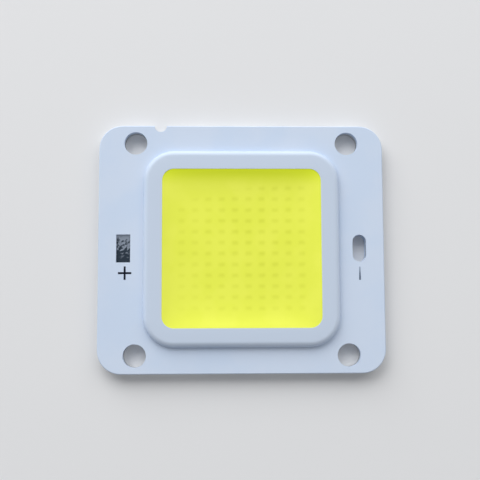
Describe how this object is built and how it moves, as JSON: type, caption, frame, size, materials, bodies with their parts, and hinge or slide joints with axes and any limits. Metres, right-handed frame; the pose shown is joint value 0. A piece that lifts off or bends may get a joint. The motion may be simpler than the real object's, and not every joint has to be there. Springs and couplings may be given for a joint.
{
  "type": "cob led",
  "caption": "Rectangular chip-on-board LED: white moulded frame on an aluminium base, square dam filled with yellow phosphor gel over a grid of dies, solder pads and mounting holes.",
  "frame": {"origin": "middle of the base plate's underside, on the plane that meets the heat sink", "axes": "+X from the positive solder pad to the negative solder slot, +Y towards the notched edge, +Z out of the light window"},
  "size_m": [0.046, 0.04, 0.0032],
  "materials": {
    "plate_aluminium": "satin",
    "white_moulding": "matte",
    "terminal_plating": "satin",
    "phosphor_silicone": "satin",
    "die_sapphire": "gloss",
    "bond_gold": "gloss"
  },
  "bodies": {
    "root": {"base_plate": "plate_aluminium", "moulded_housing": "white_moulding", "positive_terminal": "terminal_plating", "negative_terminal": "terminal_plating", "phosphor_gel": "phosphor_silicone", "led_string_01": "die_sapphire", "led_string_02": "die_sapphire", "led_string_03": "die_sapphire", "led_string_04": "die_sapphire", "led_string_05": "die_sapphire", "led_string_06": "die_sapphire", "led_string_07": "die_sapphire", "led_string_08": "die_sapphire", "led_string_09": "die_sapphire", "led_string_10": "die_sapphire", "led_string_11": "die_sapphire", "led_string_12": "die_sapphire", "bond_wires_01": "bond_gold", "bond_wires_02": "bond_gold", "bond_wires_03": "bond_gold", "bond_wires_04": "bond_gold", "bond_wires_05": "bond_gold", "bond_wires_06": "bond_gold", "bond_wires_07": "bond_gold", "bond_wires_08": "bond_gold", "bond_wires_09": "bond_gold", "bond_wires_10": "bond_gold", "bond_wires_11": "bond_gold", "bond_wires_12": "bond_gold"}
  },
  "joints": []
}
